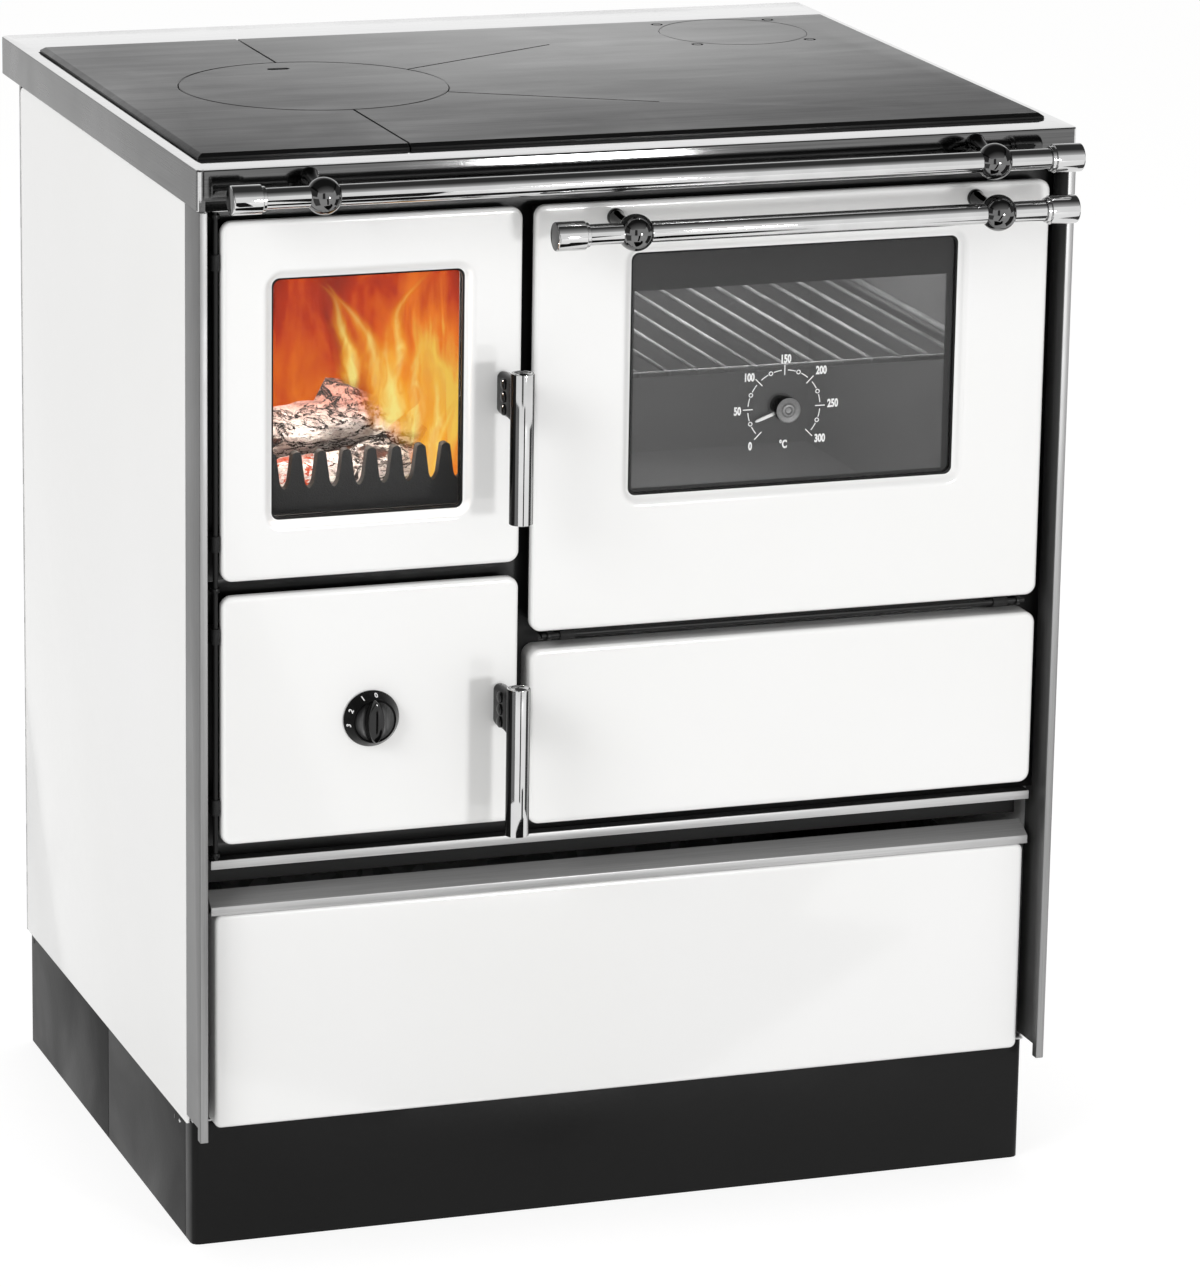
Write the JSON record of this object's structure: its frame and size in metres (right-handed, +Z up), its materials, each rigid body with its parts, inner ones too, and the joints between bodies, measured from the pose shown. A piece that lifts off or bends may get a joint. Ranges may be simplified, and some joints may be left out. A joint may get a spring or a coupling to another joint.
{
  "type": "coal cookstove",
  "caption": "Freestanding solid-fuel cooker: steel hob with lift-out lid, glazed fire door, ash door, glazed oven, towel rail and a fuel drawer on a plinth.",
  "frame": {"origin": "on the floor, under the middle of the whole outline", "axes": "+Z up, the doors face -Y, the oven is on the +X side"},
  "size_m": [0.7, 0.655, 0.8545],
  "materials": {
    "white_enamel": "gloss enamel",
    "charcoal_enamel": "satin",
    "black_enamel": "satin",
    "stainless": "polished",
    "satin_post": "satin",
    "rail_metal": "satin",
    "hob_steel": "rolled, heat tinted",
    "chrome": "polished",
    "galvanised": "galvanised",
    "steel": "bright",
    "cast_iron": "matt",
    "oven_enamel": "gloss enamel",
    "firebrick": "matt",
    "glass": "clear",
    "smoked_glass": "smoked",
    "black_plastic": "gloss"
  },
  "bodies": {
    "cooker": {"plinth_front": "charcoal_enamel", "plinth_side_left": "charcoal_enamel", "plinth_side_right": "charcoal_enamel", "plinth_rear": "charcoal_enamel", "base_pan": "galvanised", "side_panel_left": "white_enamel", "side_panel_right": "white_enamel", "back_panel": "galvanised", "post_left": "satin_post", "post_right": "satin_post", "front_plate": "black_enamel", "firebox_casing": "cast_iron", "firebrick_left": "firebrick", "firebrick_right": "firebrick", "firebrick_rear": "firebrick", "grate": "cast_iron", "log_retainer": "cast_iron", "ash_pan": "galvanised", "oven_box": "oven_enamel", "oven_rack": "chrome", "flue_collar": "cast_iron", "hob_frame": "stainless", "hob_plate_left": "hob_steel", "hob_plate_right": "hob_steel", "flue_cover": "hob_steel", "towel_rail_rod": "chrome", "towel_rail_cap_left": "chrome", "towel_rail_cap_right": "chrome", "towel_rail_bracket_left": "chrome", "towel_rail_bracket_right": "chrome", "rail_upper": "rail_metal", "lower_cover_panel": "white_enamel", "door_hinge_pin": "steel", "oven_hinge_pin": "steel"},
    "fire_door": {"fire_door_panel": "white_enamel", "fire_door_liner": "cast_iron", "fire_door_glass": "glass"},
    "fire_lever": {"fire_lever_bracket": "black_plastic", "fire_lever_grip": "chrome"},
    "ash_door": {"ash_door_panel": "white_enamel", "ash_door_liner": "cast_iron"},
    "ash_lever": {"ash_lever_bracket": "black_plastic", "ash_lever_grip": "chrome"},
    "air_knob": {"air_knob": "black_plastic", "air_spindle": "steel"},
    "air_shutter": {"air_shutter": "steel"},
    "oven_door": {"oven_door_panel": "white_enamel", "oven_door_liner": "cast_iron", "oven_door_glass": "smoked_glass", "oven_handle_rod": "chrome", "oven_handle_cap_left": "chrome", "oven_handle_cap_right": "chrome", "oven_handle_bracket_left": "chrome", "oven_handle_bracket_right": "chrome", "thermometer_body": "black_plastic"},
    "thermometer_pointer": {"thermometer_pointer": "black_plastic"},
    "hob_lid": {"hob_lid": "hob_steel"},
    "fuel_drawer": {"drawer_front": "white_enamel", "drawer_box": "galvanised", "drawer_grip_rail": "rail_metal"}
  },
  "joints": [
    {"name": "fire_door_swing", "type": "hinge", "parent": "cooker", "child": "fire_door", "pos_m": [-0.3347, -0.2645, 0.6726], "axis": [0, 0, -1], "range_deg": [0, 110]},
    {"name": "fire_lever_turn", "type": "hinge", "parent": "fire_door", "child": "fire_lever", "pos_m": [-0.111, -0.2675, 0.669], "axis": [0, 1, 0], "range_deg": [0, 60]},
    {"name": "ash_door_swing", "type": "hinge", "parent": "cooker", "child": "ash_door", "pos_m": [-0.3347, -0.2645, 0.4275], "axis": [0, 0, -1], "range_deg": [0, 110]},
    {"name": "ash_lever_turn", "type": "hinge", "parent": "ash_door", "child": "ash_lever", "pos_m": [-0.111, -0.2675, 0.4255], "axis": [0, 1, 0], "range_deg": [0, 60]},
    {"name": "air_knob_turn", "type": "hinge", "parent": "ash_door", "child": "air_knob", "pos_m": [-0.21365, -0.2675, 0.4223], "axis": [0, 1, 0], "range_deg": [0, 100]},
    {"name": "air_shutter_slide", "type": "slide", "parent": "ash_door", "child": "air_shutter", "axis": [0, 0, 1], "range_m": [0, 0.018]},
    {"name": "oven_door_swing", "type": "hinge", "parent": "cooker", "child": "oven_door", "pos_m": [0.12205, -0.2645, 0.4752], "axis": [1, 0, 0], "range_deg": [0, 90]},
    {"name": "pointer_turn", "type": "hinge", "parent": "oven_door", "child": "thermometer_pointer", "pos_m": [0.118, -0.2635, 0.641], "axis": [0, 1, 0], "range_deg": [-25, 245], "stiffness_Nm_per_rad": 0.001},
    {"name": "lid_lift", "type": "slide", "parent": "cooker", "child": "hob_lid", "axis": [0, 0, 1], "range_m": [0, 0.1]},
    {"name": "drawer_slide", "type": "slide", "parent": "cooker", "child": "fuel_drawer", "axis": [0, -1, 0], "range_m": [0, 0.36]}
  ],
  "couplings": [
    {"joint": "air_shutter_slide", "follows": "air_knob_turn", "m_per_rad": 0.0103}
  ]
}
